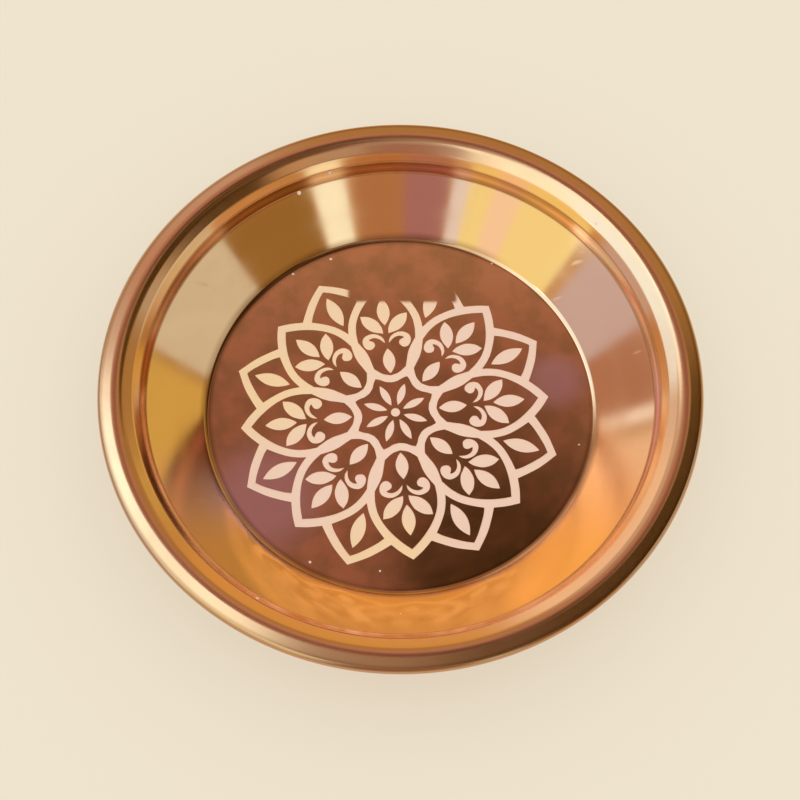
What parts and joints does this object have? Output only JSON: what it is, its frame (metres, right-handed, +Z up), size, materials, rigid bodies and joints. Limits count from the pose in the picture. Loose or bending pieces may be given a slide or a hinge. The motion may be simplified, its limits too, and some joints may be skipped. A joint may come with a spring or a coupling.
{
  "type": "puja plate",
  "caption": "Round copper offering plate with a flat etched lotus floor, sloping wall, steep riser and hollow rim with a rolled edge.",
  "frame": {"origin": "centre of the plate's flat underside, where it rests", "axes": "+Z up along the plate's axis, -Y towards the viewer of the picture, +X to the right"},
  "size_m": [0.2, 0.2, 0.0281],
  "materials": {
    "copper_sheet": "polished spun copper, with a matte etched ornament on the floor",
    "wire": "plain drawn wire, out of sight in the rim's curl"
  },
  "bodies": {
    "root": {"dish": "copper_sheet", "rim_wire": "wire"}
  },
  "joints": []
}
